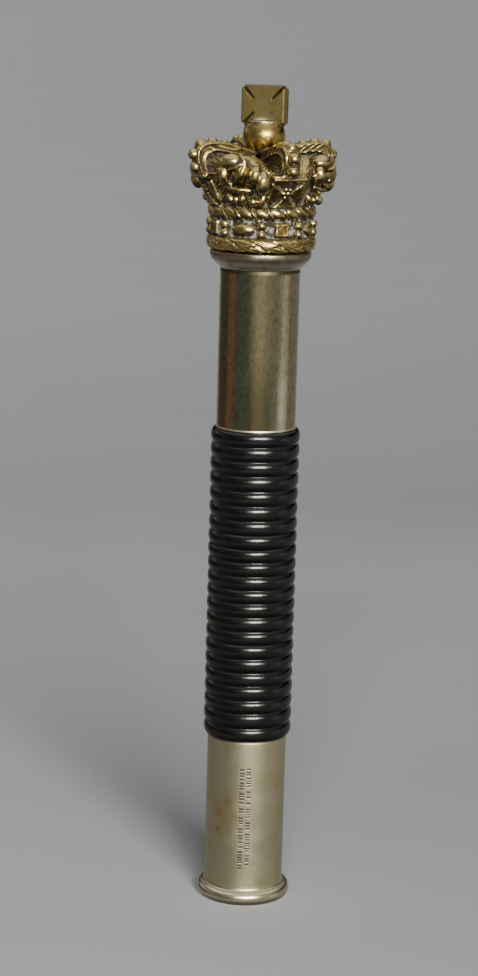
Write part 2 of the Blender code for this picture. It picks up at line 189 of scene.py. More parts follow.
# What the metal mirrors, as colours at azimuths in degrees: level with the staff, below it, and in a
# window band just above it
ROOM_MIDDLE = (
    (-180, (0.30, 0.29, 0.27)), (-155, (0.25, 0.24, 0.22)), (-138, (0.08, 0.072, 0.06)),
    (-104, (0.075, 0.065, 0.055)), (-90, (0.19, 0.11, 0.075)), (-76, (0.175, 0.105, 0.075)),
    (-66, (0.09, 0.10, 0.09)), (-34, (0.10, 0.12, 0.113)), (-24, (0.16, 0.165, 0.145)),
    (-12, (0.29, 0.275, 0.21)), (0, (0.41, 0.38, 0.29)), (12, (0.40, 0.38, 0.29)), (24, (0.29, 0.29, 0.24)),
    (44, (0.23, 0.245, 0.21)), (58, (0.24, 0.245, 0.21)), (68, (0.36, 0.345, 0.30)),
    (78, (0.56, 0.54, 0.47)), (88, (0.44, 0.425, 0.37)), (104, (0.25, 0.235, 0.20)),
    (134, (0.22, 0.215, 0.20)), (180, (0.30, 0.29, 0.27)),
)
ROOM_LOW = (
    (-180, (0.24, 0.24, 0.24)), (-120, (0.22, 0.215, 0.205)), (-70, (0.25, 0.245, 0.23)),
    (-30, (0.28, 0.275, 0.26)), (4, (0.34, 0.335, 0.32)), (36, (0.30, 0.295, 0.28)),
    (80, (0.25, 0.25, 0.24)), (130, (0.22, 0.22, 0.22)), (180, (0.24, 0.24, 0.24)),
)
WINDOW = tuple((azimuth, (tone,) * 3) for azimuth, tone in (
    (-180, 0.0), (-150, 0.0), (-124, 0.5), (-95, 0.22), (-60, 0.12), (-30, 0.3), (-12, 0.8), (10, 1.1),
    (35, 0.5), (70, 0.25), (110, 0.0), (180, 0.0),
))
ROOM_NEAR = (0.09, 0.09, 0.088)
CEILING = (0.18,) * 3
SKYLIGHT = (0.72,) * 3
AMBIENT = (0.045,) * 3
BACKDROP_LEFT = (0.3325, 0.3337, 0.336)
BACKDROP_RIGHT = (0.3115, 0.3125, 0.3145)
KEY_COLOUR = (1.0, 0.96, 0.86)


# ---------------------------------------------------------------- meshes

def blended(start, end, share):
    return start + (end - start) * share


def smooth_step(low, high, value):
    share = np.clip((value - low) / (high - low), 0.0, 1.0)
    return share * share * (3 - 2 * share)


def turns(count):
    return [2 * pi * step / count for step in range(count)]


def place_in_scene(name, data):
    obj = bpy.data.objects.new(name, data)
    bpy.context.scene.collection.objects.link(obj)
    return obj


def piece_from(name, points, faces, smooth_angle):
    """A mesh object from points in units, with edges sharper than an angle left sharp."""
    mesh = bpy.data.meshes.new(name)
    mesh.from_pydata((np.asarray(points) * UNIT).tolist(), [], faces)
    mesh.validate()
    mesh.shade_smooth()
    mesh.set_sharp_from_angle(angle=radians(smooth_angle))
    return place_in_scene(name, mesh)


def add_attribute(mesh, name, values):
    mesh.attributes.new(name, "FLOAT", "POINT").data.foreach_set("value", np.asarray(values, np.float32))


def lathe(outline, azimuths, shape):
    """Points and faces of an outline of (radius, level) spun through azimuths. A radius of 0 makes a pole,
    and an outline that ends where it starts makes a ring. shape(azimuths, level, radius) gives the radii."""
    points = []
    rings = []
    count = len(azimuths)
    closed = outline[0] == outline[-1]
    for radius, level in outline[:-1] if closed else outline:
        if radius == 0.0:
            rings.append([len(points)])
            points.append((0.0, 0.0, level))
            continue
        rings.append(list(range(len(points), len(points) + count)))
        radii = shape(azimuths, level, radius) * np.ones(count)
        ring = np.stack([radii * np.sin(azimuths), -radii * np.cos(azimuths), np.full(count, level)], 1)
        points += ring.tolist()
    rings += rings[:1] if closed else []
    faces = []
    for lower, upper in zip(rings, rings[1:]):
        for here in range(count):
            after = (here + 1) % count
            if len(lower) == 1:
                faces.append((lower[0], upper[after], upper[here]))
            elif len(upper) == 1:
                faces.append((lower[here], lower[after], upper[0]))
            else:
                faces.append((lower[here], lower[after], upper[after], upper[here]))
    return points, faces


def even_azimuths(sides):
    return np.arange(sides) * 2 * pi / sides - pi


def waves(rng, count, reach):
    """A smooth wavy function of azimuth and level that closes on itself."""
    terms = [
        (rng.integers(1, 7), rng.uniform(0.02, 0.16), rng.uniform(0, 2 * pi), rng.uniform(0.4, 1.0))
        for _ in range(count)
    ]

    def sway(azimuth, level):
        total = sum(
            size * np.sin(cycles * azimuth + pace * level + start) for cycles, pace, start, size in terms)
        return reach * total / count

    return sway


# ---------------------------------------------------------------- foot cap, barrel, collar and grip

def turned_piece(name, outline, sides, sway, above, pace=1, smooth_angle=50):
    """A lathed piece whose surface sways where its radius is above a limit."""
    def shape(azimuth, level, radius):
        return radius + (sway(azimuth, level * pace) if radius > above else 0.0)

    return piece_from(name, *lathe(outline, even_azimuths(sides), shape), smooth_angle)


def stamp_strokes(rng):
    """(azimuth, level, half length, half width) of rows of worn parallel punch strokes that spell nothing."""
    strokes = []
    for azimuth, top, bottom in STAMP_ROWS:
        level = top
        while level > bottom:
            if rng.random() > 0.1:
                shift = rng.uniform(-0.006, 0.006)
                strokes.append((azimuth + shift, level, rng.uniform(0.42, 0.58), rng.uniform(0.12, 0.19)))
            level -= rng.choice((0.6, 0.66, 0.9))
    return strokes


def foot_cap_shell():
    rng = np.random.default_rng(11)
    strokes = stamp_strokes(rng)
    sway = waves(rng, 5, 0.02)
    # Azimuths close together across the stamp and wider apart elsewhere
    fine = np.arange(-0.21, 0.23, 0.0105)
    coarse = np.linspace(fine[-1], fine[0] + 2 * pi, 112)[1:-1]
    socket_radius = TENON_RADIUS + SEAT_GAP
    socket_floor = GRIP_BOTTOM - TENON_LENGTH - SEAT_GAP
    top = GRIP_BOTTOM - SEAM
    outline = [(0.0, 0.0), (FOOT_RIM_RADIUS * 0.5, 0.0), (FOOT_RIM_RADIUS - 0.9, 0.0)]
    outline += [(FOOT_RIM_RADIUS + inset, level) for inset, level in FOOT_RIM]
    outline += [(FOOT_RADIUS, level) for level in np.arange(6.2, FOOT_HEIGHT - 0.4, 0.11)]
    outline += [(FOOT_RADIUS - 0.03, top - 0.2), (FOOT_RADIUS - 0.12, top - 0.06), (FOOT_RADIUS - 0.3, top)]
    outline += [(socket_radius, top), (socket_radius, socket_floor), (0.0, socket_floor)]

    def stamped(azimuth, level):
        depth = np.zeros_like(azimuth)
        for middle, height, across, width in strokes:
            sideways = np.abs((azimuth - middle) * FOOT_RADIUS)
            inside = 1 - smooth_step(across - 0.05, across + 0.12, sideways)
            inside *= 1 - smooth_step(width - 0.04, width + 0.09, np.abs(level - height))
            depth = np.maximum(depth, inside)
        return depth

    def shape(azimuth, level, radius):
        if level < 5.0 or radius < FOOT_RADIUS - 0.02:
            return radius
        return radius + sway(azimuth, level) - STAMP_DEPTH * stamped(azimuth, level)

    points, faces = lathe(outline, np.concatenate([fine, coarse]), shape)
    obj = piece_from("foot_cap_shell", points, faces, 50)
    x, y, z = np.asarray(points).T
    turn = np.arctan2(x, -y)
    outer = np.hypot(x, y) > FOOT_RADIUS - 0.3
    add_attribute(obj.data, "stamp", stamped(turn, z) * outer)
    stains = np.zeros(len(z))
    for azimuth, level, spread, strength in STAINS:
        sideways = (turn - radians(azimuth)) * FOOT_RADIUS
        reach = (sideways**2 + ((z - level) * 0.75) ** 2) / spread**2
        stains = np.maximum(stains, strength * np.exp(-reach))
    add_attribute(obj.data, "stain", stains * outer)
    return obj


def barrel_tube():
    sway = waves(np.random.default_rng(5), 6, 0.03)
    lower_socket, lower_end = TENON_RADIUS + SEAT_GAP, GRIP_TOP + TENON_LENGTH + SEAT_GAP
    upper_socket, upper_end = STUB_RADIUS + SEAT_GAP, STUB_BOTTOM - SEAT_GAP
    bottom = GRIP_TOP + SEAM
    outline = [(0.0, lower_end), (lower_socket, lower_end), (lower_socket, bottom)]
    outline.append((BARREL_RADIUS - 0.25, bottom))
    for inset, rise in ((0.1, 0.03), (0.02, 0.1), (0.0, 0.2), (0.01, 0.32), (0.05, 0.42), (0.06, 0.6)):
        outline.append((BARREL_RADIUS - inset, bottom + rise))
    outline += [(BARREL_WALL, level) for level in np.arange(BARREL_BOTTOM + 1.0, BARREL_TOP - 0.5, 0.6)]
    outline += [(BARREL_WALL, BARREL_TOP - 0.3), (BARREL_RADIUS - 0.1, BARREL_TOP - 0.08)]
    outline += [(BARREL_RADIUS - 0.3, BARREL_TOP), (upper_socket, BARREL_TOP), (upper_socket, upper_end)]
    outline.append((0.0, upper_end))
    return turned_piece("barrel_tube", outline, TUBE_SIDES, sway, BARREL_RADIUS - 0.09)


def collar_ring():
    sway = waves(np.random.default_rng(23), 5, 0.05)
    bore = STUB_RADIUS + SEAT_GAP
    bottom = BARREL_TOP + SEAM
    swell = (COLLAR_TOP - COLLAR_BOTTOM) * 0.8 - 0.05
    outline = [(bore, bottom), (BARREL_RADIUS - 0.5, bottom), (BARREL_RADIUS - 0.05, bottom)]
    steps = 14
    for step in range(steps + 1):
        share = step / steps
        radius = blended(BARREL_RADIUS + 0.1, COLLAR_RADIUS, sin(pi / 2 * share) ** 0.9)
        outline.append((radius, COLLAR_BOTTOM + 0.05 + swell * share))
    for inset, drop in ((0.01, 0.4), (0.06, 0.2), (0.2, 0.05), (0.4, 0.0)):
        outline.append((COLLAR_RADIUS - inset, COLLAR_TOP - drop))
    outline += [(BARREL_RADIUS, COLLAR_TOP), (bore, COLLAR_TOP), (bore, bottom)]
    return turned_piece("collar_ring", outline, TUBE_SIDES, sway, BARREL_RADIUS + 0.4, 4)


def grip_turning():
    rng = np.random.default_rng(31)
    sway = waves(rng, 5, 0.035)
    bounds = np.concatenate([[0.0], np.cumsum(RIB_HEIGHTS)]) / sum(RIB_HEIGHTS)
    bounds = GRIP_BOTTOM + bounds * (GRIP_TOP - GRIP_BOTTOM)
    bottom, top = GRIP_BOTTOM - TENON_LENGTH, GRIP_TOP + TENON_LENGTH
    outline = [(0.0, bottom), (TENON_RADIUS, bottom), (TENON_RADIUS, GRIP_BOTTOM)]
    for low, high in zip(bounds, bounds[1:]):
        crest = RIB_RADIUS + rng.uniform(-0.07, 0.0)
        root = crest - GROOVE_DEPTH + rng.uniform(-0.06, 0.06)
        for step in range(RIB_STEPS):
            across = 2 * (step + 0.5) / RIB_STEPS - 1
            swell = (1 - abs(across) ** 2.1) ** 0.52
            outline.append((root + (crest - root) * swell, blended(low, high, (across + 1) / 2)))
    outline += [(RIB_RADIUS - GROOVE_DEPTH, GRIP_TOP), (TENON_RADIUS, GRIP_TOP)]
    outline += [(TENON_RADIUS, top), (0.0, top)]
    return turned_piece("grip_turning", outline, GRIP_SIDES, sway, TENON_RADIUS + 1.0, 2, 60)


# ---------------------------------------------------------------- crown

class Pile:
    """Closed bodies gathered for casting."""

    def __init__(self):
        self.points = []
        self.faces = []

    def loft(self, loops):
        base = len(self.points)
        count = len(loops[0])
        for loop in loops:
            self.points += [tuple(point) for point in loop]
        for row in range(len(loops) - 1):
            lower = base + row * count
            for here in range(count):
                after = (here + 1) % count
                self.faces.append((lower + here, lower + after, lower + count + after, lower + count + here))
        self.faces.append(tuple(base + index for index in reversed(range(count))))
        last = base + (len(loops) - 1) * count
        self.faces.append(tuple(last + index for index in range(count)))

    def ellipsoid(self, place, radii, sides=20, rings=12):
        loops = []
        for ring in range(rings + 1):
            angle = pi * min(max(ring / rings, 0.01), 0.99)
            loop = []
            for turn in turns(sides):
                spot = Vector((sin(angle) * cos(turn), sin(angle) * sin(turn), -cos(angle)))
                loop.append(place @ Vector(spot[axis] * radii[axis] for axis in range(3)))
            loops.append(loop)
        self.loft(loops)

    def ball(self, centre, radius):
        self.ellipsoid(Matrix.Translation(centre), (radius,) * 3, 16, 10)

    def stroke(self, path, radii, sides=10):
        """A rounded tube along points, of one radius or with a radius at each of them."""
        path = [Vector(point) for point in path]
        radii = radii if hasattr(radii, "__len__") else [radii] * len(path)
        tangents = []
        for index in range(len(path)):
            ahead = path[min(index + 1, len(path) - 1)] - path[max(index - 1, 0)]
            tangents.append(ahead.normalized())
        spots = [(point, radii[index], index) for index, point in enumerate(path)]
        for share in (0.35, 0.7, 0.96):
            narrow = sqrt(1 - share * share)
            spots.insert(0, (path[0] - tangents[0] * radii[0] * share, radii[0] * narrow, 0))
            spots.append((path[-1] + tangents[-1] * radii[-1] * share, radii[-1] * narrow, -1))
        normal = tangents[0].orthogonal().normalized()
        loops = []
        for centre, radius, index in spots:
            tangent = tangents[index]
            normal = (normal - tangent * normal.dot(tangent)).normalized()
            side = tangent.cross(normal)
            loops.append([
                centre + (normal * cos(turn) + side * sin(turn)) * radius for turn in turns(sides)])
        self.loft(loops)


def crown_outline():
    """(radius, level) of the crown's plain body, from its rim inward to the axis."""
    outline = [(BAND_RADIUS, 0.0)]
    for step in range(9):
        angle = pi * (step / 8 - 0.5)
        radius = BAND_RADIUS + (LEAF_BAND_PROUD - 0.15) * cos(angle) ** 0.7
        outline.append((radius, LEAF_BAND_HEIGHT * (0.5 + 0.48 * sin(angle))))
    outline += [(BAND_RADIUS, LEAF_BAND_HEIGHT), (BAND_RADIUS, WAIST_LEVEL)]
    for step in range(1, 9):
        share = step / 8
        radius = blended(BAND_RADIUS, CAP_RADIUS, sin(pi / 2 * share))
        outline.append((radius, WAIST_LEVEL + FLARE_HEIGHT * share))
    top = WAIST_LEVEL + CAP_HEIGHT
    for step in range(1, 9):
        angle = pi / 2 * step / 8
        radius = CAP_RADIUS - CAP_SHOULDER * (1 - cos(angle))
        outline.append((radius, top - (CAP_HEIGHT - FLARE_HEIGHT) * (1 - sin(angle))))
    return outline + [(ORB_RADIUS, top - CAP_SINK), (0.01, top - CAP_SINK)]


def skin_radius(level):
    if level <= WAIST_LEVEL + FLARE_HEIGHT:
        outline = crown_outline()
        for (lower_radius, lower), (upper_radius, upper) in zip(outline, outline[1:]):
            if lower <= level <= upper and upper > lower:
                return blended(lower_radius, upper_radius, (level - lower) / (upper - lower))
    return CAP_RADIUS


def polar(azimuth, radius, level):
    return Vector((radius * sin(azimuth), -radius * cos(azimuth), level))


def seat(azimuth, radius, level, spin=0.0):
    around = Matrix.Rotation(azimuth, 4, "Z")
    return around @ Matrix.Translation((0.0, -radius, level)) @ Matrix.Rotation(spin, 4, "Y")


def oval(sides, wide, high, wide_power, high_power):
    """A closed outline of (across, rise) about its middle, pointed where a power is above 1."""
    def pulled(value, power):
        return copysign(abs(value) ** power, value)

    return [
        (wide * pulled(cos(turn), wide_power), high * pulled(sin(turn), high_power)) for turn in turns(sides)]


def add_relief(pile, outline, place, base, top, bevel):
    """A raised form with an outline of (across, level); place(across, level, proud) seats its points."""
    centre_x = sum(across for across, _ in outline) / len(outline)
    centre_y = sum(level for _, level in outline) / len(outline)
    rows = [(1.0, base), (1.0, top - bevel)] + [(share, top) for share in (0.93, 0.72, 0.5, 0.28, 0.04)]
    pile.loft([
        [place(blended(centre_x, x, share), blended(centre_y, y, share), proud) for x, y in outline]
        for share, proud in rows
    ])


def add_leaf_band(pile):
    """Long overlapping leaves in two rows, each with two veins."""
    pitch = 2 * pi / LEAVES
    leaf = oval(28, 3.0, 0.74, 1.0, 1.2)

    for index in range(LEAVES):
        for row, middle in enumerate((0.74, 0.28)):
            azimuth = pitch * (index + 0.5 * row + 0.15)

            def place(across, rise, proud):
                level = LEAF_BAND_HEIGHT * middle + rise - 0.2 * across
                off_middle = abs((level - LEAF_BAND_HEIGHT / 2) / (LEAF_BAND_HEIGHT / 2))
                swell = LEAF_BAND_PROUD * sqrt(max(0.0, 1 - min(1.0, off_middle) ** 2.5))
                return polar(azimuth + across / BAND_RADIUS, BAND_RADIUS - 0.15 + swell + proud, level)

            add_relief(pile, leaf, place, -0.8, 0.3 - 0.08 * row, 0.2)
            for bow, thick in ((-0.62, 0.17), (0.05, 0.14)):
                shares = [step / 4 - 1 for step in range(9)]
                vein = [place(share * 2.8, bow * (1 - share * share), 0.34 - 0.08 * row) for share in shares]
                pile.stroke(vein, thick, 8)


def add_jewel(pile, azimuth, outline, layers):
    """An outline of (across, rise) on the jewelled band, raised in layers of (proud, share of its size)."""
    def place(across, rise, proud, share):
        return polar(azimuth + across / BAND_RADIUS * share, BAND_RADIUS + proud, JEWEL_LEVEL + rise * share)

    pile.loft([[place(*spot, *layer) for spot in outline] for layer in layers])


def add_jewels(pile, turn):
    for azimuth in (0.0, radians(45.0)):
        for share in (0.25, 0.75):
            level = LEAF_BAND_HEIGHT + JEWEL_BAND_HEIGHT * share
            pile.ball(polar(turn + azimuth, BAND_RADIUS + PEARL_RADIUS * 0.3, level), PEARL_RADIUS * 1.1)
    square = [(side * 1.75, up * 1.67) for side, up in ((-1, -1), (1, -1), (1, 1), (-1, 1))]
    layers = ((-1.2, 1.0), (0.15, 1.0), (0.55, 0.9), (0.8, 0.7), (0.62, 0.56))
    add_jewel(pile, turn + CROSS_AZIMUTH, square, layers)
    layers = ((-1.2, 1.0), (0.0, 1.0), (0.5, 0.8), (0.85, 0.45), (0.9, 0.1))
    add_jewel(pile, turn + FLEUR_AZIMUTH, oval(24, 2.75, 1.62, 1.35, 1.1), layers)


def add_rope(pile):
    """A cabled ring: fat slanting lobes with a thin wire in the groove between each two."""
    tube = ROPE_THICKNESS / 2
    pitch = 2 * pi / ROPE_STRANDS
    heart = BAND_RADIUS + ROPE_PROUD - tube
    half = pitch * heart * 0.485
    shear = tan(ROPE_SLANT) * tube

    def place(azimuth, across, angle, radius):
        sheared = across - shear * sin(angle)
        level = ROPE_LEVEL + radius * sin(angle)
        return polar(azimuth + sheared / heart, heart + radius * cos(angle), level)

    for strand in range(ROPE_STRANDS):
        azimuth = pitch * strand
        loops = []
        for step in range(13):
            share = sin(pi * (step / 12 - 0.5))
            radius = tube * max(0.02, 1 - abs(share) ** 3.2) ** 0.42
            loops.append([place(azimuth, half * share, turn, radius) for turn in turns(24)])
        pile.loft(loops)
        angles = [radians(-80.0 + 16.0 * step) for step in range(11)]
        pile.stroke([place(azimuth + pitch / 2, 0.0, angle, tube * 0.9) for angle in angles], 0.24, 8)


def cross_front(level):
    share = max(0.0, (level - WAIST_LEVEL) / CROSS_HEIGHT)
    return BAND_RADIUS + ROPE_PROUD + CROSS_PROUD + CROSS_LEAN * share**1.3


def add_cross(pile, azimuth):
    """A cross with four broad arms that nearly meet, a rosette in its middle and a wide ledge on top."""
    low = WAIST_LEVEL - CROSS_HEIGHT * 0.05
    middle = WAIST_LEVEL + CROSS_HEIGHT * 0.43
    high = WAIST_LEVEL + CROSS_HEIGHT
    half = CROSS_SPAN / 2
    waist = half * 0.92
    foot = half * 0.76
    arm = CROSS_HEIGHT * 0.35

    def place(across, level, proud):
        radius = cross_front(level) + proud
        return polar(azimuth + across / radius, radius, level)

    def behind(across, level, depth):
        front = cross_front(level)
        radius = blended(front - 0.5, skin_radius(level) - CROSS_LEAN * 0.3, depth)
        return polar(azimuth + across / front, radius, level)

    right = [(foot, low), (waist, middle - arm), (waist, middle + arm), (half, high)]
    plate = [(-foot, low)] + right + [(-across, level) for across, level in reversed(right[1:])]
    pile.loft([[behind(across, level, depth) for across, level in plate] for depth in (0.0, 0.5, 1.0)])
    gap = 0.16
    arms = (
        ((0.0, middle - 0.5), (-foot + gap, low + 0.05), (foot - gap, low + 0.05), 0.16),
        ((0.5, middle), (waist, middle - arm + gap), (waist, middle + arm - gap), -0.02),
        ((-0.5, middle), (-waist, middle + arm - gap), (-waist, middle - arm + gap), -0.02),
        ((0.0, middle + 0.5), (half - gap, high), (-half + gap, high), 0.1),
    )
    for apex, first, last, proud in arms:
        outline = []
        for start, end in ((apex, first), (first, last), (last, apex)):
            for share in np.arange(8) / 8:
                outline.append((blended(start[0], end[0], share), blended(start[1], end[1], share)))
        add_relief(pile, outline, place, -1.0, proud, 0.1)
    pile.ball(place(0.0, middle, 0.2), 0.6)
    for petal in range(6):
        angle = pi / 3 * petal
        pile.ball(place(0.98 * cos(angle), middle + 0.98 * sin(angle), 0.08), 0.44)
    ledge = ((-0.97, 1), (-0.97, 0), (-0.5, 0), (0.0, 0), (0.5, 0), (0.97, 0), (0.97, 1))
    loops = []
    for drop, grow in ((1.35, -0.5), (1.05, 0.35), (0.8, 0.5), (0.05, -0.55), (0.0, -0.9)):
        radius = cross_front(high) + grow
        loops.append([
            polar(azimuth + half * share / radius, blended(radius, CAP_RADIUS - 1.0, depth), high - drop)
            for share, depth in ledge
        ])
    pile.loft(loops)


def arch_path(share):
    """The outer edge of a half-arch as (radius, level)."""
    start = Vector((BAND_RADIUS, WAIST_LEVEL))
    rise = Vector((ARCH_RADIUS * 1.24, WAIST_LEVEL + ARCH_RISE * 0.98))
    crest = Vector((ARCH_RADIUS, WAIST_LEVEL + ARCH_RISE * 1.25))
    end = Vector((ORB_RADIUS * 0.5, WAIST_LEVEL + ARCH_RISE * 0.88))
    rest = 1 - share
    return start * rest**3 + rise * 3 * share * rest**2 + crest * 3 * share**2 * rest + end * share**3


def add_arch(pile, azimuth):
    sideways = Vector((cos(azimuth), sin(azimuth), 0.0)) * ARCH_WIDTH
    inner = Vector((ORB_RADIUS * 0.5, WAIST_LEVEL))

    def line(across, inset, first=0):
        """A line that follows the arch, set in from its outer edge."""
        spots = []
        for station in range(first, ARCH_STATIONS + 1):
            edge = arch_path(station / ARCH_STATIONS)
            inward = inner - edge
            edge += inward.normalized() * min(inset, inward.length * 0.6)
            spots.append(polar(azimuth, edge.x, edge.y) + sideways * across)
        return spots

    section = [(-0.3, 3.6), (-0.34, 3.1), (-0.5, 2.7), (-0.5, 0.6), (-0.34, 0.1)]
    section += [(-across, inset) for across, inset in reversed(section)]
    hub = polar(azimuth, inner.x, inner.y)
    pile.loft([[hub + sideways * across] + line(across, inset) for across, inset in section])
    for across in (-0.5, 0.5):
        pile.stroke(line(across, 0.6, 3), 0.2, 8)
        pile.stroke(line(across, 2.6, 3), 0.26, 8)
    steps = 300
    run = 0.0
    before = arch_path(0.0)
    for step in range(1, steps + 1):
        here = arch_path(step / steps)
        if here.y > WAIST_LEVEL + CROSS_HEIGHT:
            run += (here - before).length
        before = here
        if run >= ARCH_PEARL_SPACING / 2 and here.x > ORB_RADIUS:
            size = ARCH_PEARL_RADIUS * (0.6 + 0.5 * smooth_step(ORB_RADIUS, ARCH_RADIUS * 0.9, here.x))
            pile.ball(polar(azimuth, here.x, here.y - 0.3), size)
            run -= ARCH_PEARL_SPACING


def add_fleur(pile, azimuth):
    """A fleur-de-lis in high relief. Places are (across, rise above the waist, proud of the skin)."""
    def spot(across, rise, proud):
        level = WAIST_LEVEL + rise
        radius = skin_radius(level) + proud
        return polar(azimuth + across / radius, radius, level)

    def stroke(points, radii):
        shares = np.arange(len(points) * 4 - 3) / 4
        knots = range(len(points))
        dense = [spot(*(np.interp(share, knots, axis) for axis in zip(*points))) for share in shares]
        pile.stroke(dense, np.interp(shares, knots, radii), 12)

    def lobe(across, rise, proud, radii, spin=0.0):
        level = WAIST_LEVEL + rise
        radius = skin_radius(level) + proud
        pile.ellipsoid(seat(azimuth + across / radius, radius, level, radians(spin)), radii)

    lobe(0.3, 7.4, -0.6, (4.4, 1.8, 3.6))
    lobe(-1.9, 9.7, 1.3, (2.7, 2.0, 1.75), -8.0)
    lobe(0.7, 7.8, 1.4, (1.9, 2.1, 2.75), 6.0)
    stroke([(0.6, 11.2, 1.9), (1.7, 10.2, 2.6), (2.0, 8.8, 2.7), (1.3, 7.0, 3.2), (-0.2, 5.6, 2.8)],
           [0.35, 0.5, 0.55, 0.5, 0.3])
    stroke([(-1.6, 8.1, 2.4), (-0.2, 8.3, 3.3), (1.2, 9.2, 3.2)], [0.3, 0.42, 0.4])
    lobe(-3.3, 7.0, 1.5, (1.3, 1.7, 2.1), -6.0)
    stroke([(-1.9, 4.8, 1.4), (-3.9, 5.3, 1.6), (-4.7, 6.8, 1.4)], [0.5, 0.6, 0.45])
    lobe(3.9, 6.9, 1.5, (1.45, 1.8, 2.0), 8.0)
    lobe(5.4, 5.3, 1.4, (1.6, 1.8, 2.6), 6.0)
    stroke([(-3.3, 4.2, 1.2), (-1.6, 3.7, 1.8), (0.2, 3.5, 2.0), (2.5, 3.5, 1.5)], [0.42, 0.62, 0.66, 0.42])
    lobe(0.0, 2.0, -0.3, (1.3, 1.2, 2.4))
    lobe(-2.8, 1.5, 0.5, (0.85, 1.0, 1.3), -20.0)
    lobe(0.3, 1.6, 0.9, (0.85, 1.0, 1.25), 8.0)
    lobe(-1.2, 1.3, 0.8, (0.7, 0.9, 1.0), 0.0)
    lobe(4.6, 1.4, 0.3, (0.8, 0.9, 1.5), 20.0)
    pile.ball(spot(2.75, 0.95, 1.1), PEARL_RADIUS * 1.1)


def inset_outline(outline, distance):
    """A closed outline of Vectors moved inward by a distance, with mitred corners."""
    moved = []
    for before, here, after in zip(outline[-1:] + outline[:-1], outline, outline[1:] + outline[:1]):
        first = (here - before).normalized()
        second = (after - here).normalized()
        miter = Vector((-first.y, first.x)) + Vector((-second.y, second.x))
        moved.append(here + miter * distance / max(0.3, 1 + first.dot(second)))
    return moved


def top_cross():
    """The mesh of the thick square cross on the orb, with a narrow slit in from each rounded corner."""
    half_wide = TOP_CROSS_WIDTH / 2
    half_high = (CROWN_TOP - CROWN_BOTTOM - TOP_CROSS_BOTTOM) / 2
    half_thick = TOP_CROSS_THICKNESS / 2
    slit = TOP_CROSS_SLIT
    mouth = slit * 0.22
    wide = slit * 0.055
    corner = [
        (0.0, mouth * 1.75), (mouth * 0.08, mouth * 1.35), (mouth * 0.3, mouth * 0.98),
        (mouth * 0.62 - wide, mouth * 0.62 + wide), (slit * 0.55 - wide, slit * 0.55 + wide),
        (slit * 0.97, slit * 1.03),
    ]
    corner += [(y, x) for x, y in reversed(corner)]
    outline = []
    for right, up in ((1, 1), (-1, 1), (-1, -1), (1, -1)):
        points = [Vector((right * (half_wide - x), up * (half_high - y))) for x, y in corner]
        outline += points if right == up else reversed(points)
    place = seat(FLEUR_AZIMUTH, 0.0, TOP_CROSS_BOTTOM + half_high)
    pile = Pile()
    pile.loft([
        [place @ Vector((x, depth * half_thick, z)) for x, z in inset_outline(outline, inset)]
        for depth, inset in ((-1.0, 0.34), (-0.93, 0.12), (-0.8, 0.0), (0.8, 0.0), (0.93, 0.12), (1.0, 0.34))
    ])
    mesh = bpy.data.meshes.new("top_cross")
    mesh.from_pydata(pile.points, [], pile.faces)
    mesh.shade_smooth()
    body = bmesh.new()
    body.from_mesh(mesh)
    bmesh.ops.recalc_face_normals(body, faces=body.faces)
    bmesh.ops.triangulate(body, faces=body.faces)
    body.to_mesh(mesh)
    body.free()
    mesh.set_sharp_from_angle(angle=radians(24.0))
    return mesh


def add_orb(pile):
    """The orb and the thin ring near its top."""
    pile.ellipsoid(Matrix.Translation((0, 0, ORB_LEVEL)), (ORB_RADIUS,) * 3, 64, 40)
    rise = ORB_RADIUS * 0.66
    radius = sqrt(ORB_RADIUS**2 - rise**2) + 0.03
    ring = [polar(turn, radius, ORB_LEVEL + rise) for turn in turns(48) + [2 * pi]]
    pile.stroke(ring, 0.2, 8)


def add_body(pile):
    """The stub, the bands, the flare and the cap, which sags between the arches."""
    outline = [(STUB_RADIUS, STUB_BOTTOM - CROWN_BOTTOM), (STUB_RADIUS, 0.0)] + crown_outline()
    loops = []
    for radius, level in outline:
        high = smooth_step(WAIST_LEVEL + FLARE_HEIGHT * 0.4, WAIST_LEVEL + CAP_HEIGHT, level)
        loop = []
        for azimuth in turns(CROWN_SIDES):
            sag = high * (0.5 + 0.5 * cos(QUARTERS * (azimuth - CROSS_AZIMUTH)))
            loop.append(polar(azimuth, radius * (1 - 0.06 * sag), level - CAP_SAG * sag))
        loops.append(loop)
    pile.loft(loops)


def mesh_arrays(mesh):
    """Points, normals, edges and the number of edges at each point."""
    points = np.empty(len(mesh.vertices) * 3)
    mesh.vertices.foreach_get("co", points)
    normals = np.empty(len(mesh.vertices) * 3, np.float32)
    mesh.vertex_normals.foreach_get("vector", normals)
    edges = np.empty(len(mesh.edges) * 2, np.int64)
    mesh.edges.foreach_get("vertices", edges)
    counts = np.maximum(np.bincount(edges, minlength=len(mesh.vertices)).astype(float), 1.0)
    return points.reshape(-1, 3), normals.reshape(-1, 3).astype(float), edges.reshape(-1, 2), counts


def neighbour_mean(values, edges, counts):
    total = np.empty_like(values)
    for axis in range(values.shape[1]):
        column = values[:, axis]
        total[:, axis] = np.bincount(edges[:, 0], column[edges[:, 1]], len(values))
        total[:, axis] += np.bincount(edges[:, 1], column[edges[:, 0]], len(values))
    return total / counts[:, None]


def snap_to_orb(points):
    """Takes the voxel steps out of the orb."""
    centre = np.array([0.0, 0.0, ORB_LEVEL])
    offset = points - centre
    distance = np.linalg.norm(offset, axis=1)
    near = np.abs(distance - ORB_RADIUS) < VOXEL * 0.45
    points[near] = centre + offset[near] / distance[near][:, None] * ORB_RADIUS


